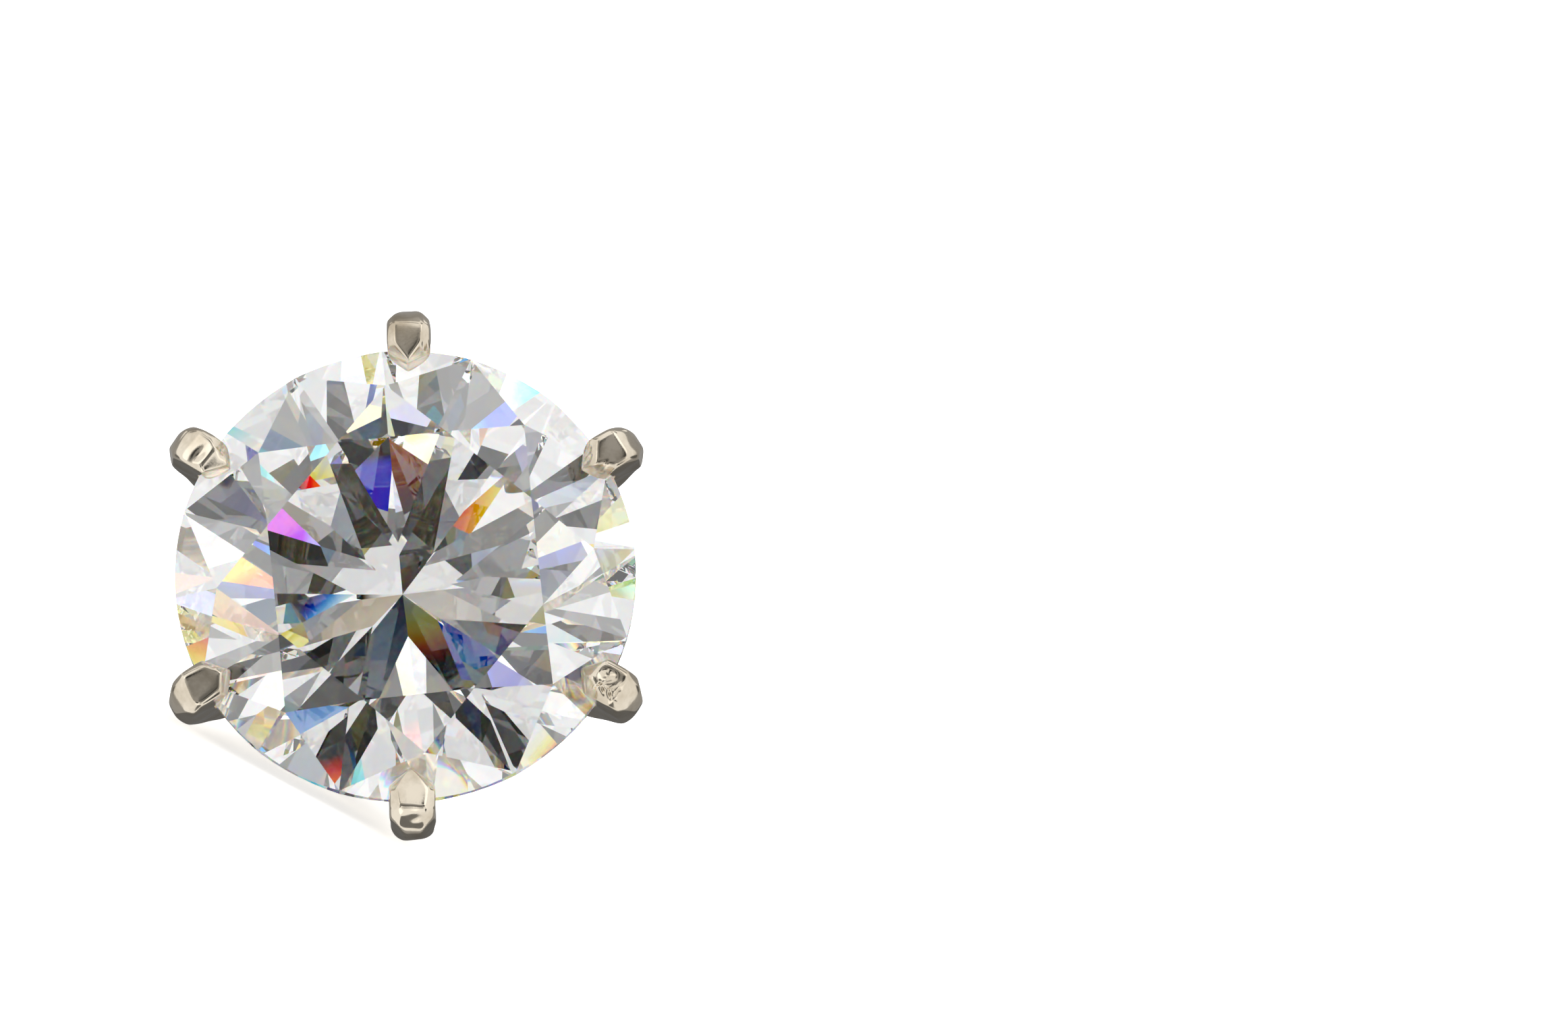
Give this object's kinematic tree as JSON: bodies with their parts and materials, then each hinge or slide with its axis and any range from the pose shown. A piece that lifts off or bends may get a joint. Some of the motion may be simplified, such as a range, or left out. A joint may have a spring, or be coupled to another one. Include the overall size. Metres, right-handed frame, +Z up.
{
  "type": "stud earring",
  "caption": "Claw-set stud earring: a round brilliant-cut diamond in a white gold setting with a plain ear post.",
  "frame": {"origin": "middle of the earring's box at the level of the surface that it lies on", "axes": "+Z up; the diamond's face looks towards -Y and about 17 degrees up, the ear post runs back towards +Y and down to the surface"},
  "size_m": [0.0106, 0.0166, 0.0093],
  "materials": {
    "diamond": "polished facets",
    "white_gold": "polished, natural white gold with wear marks"
  },
  "bodies": {
    "root": {"stone": "diamond", "claw_setting": "white_gold", "ear_post": "white_gold"}
  },
  "joints": []
}
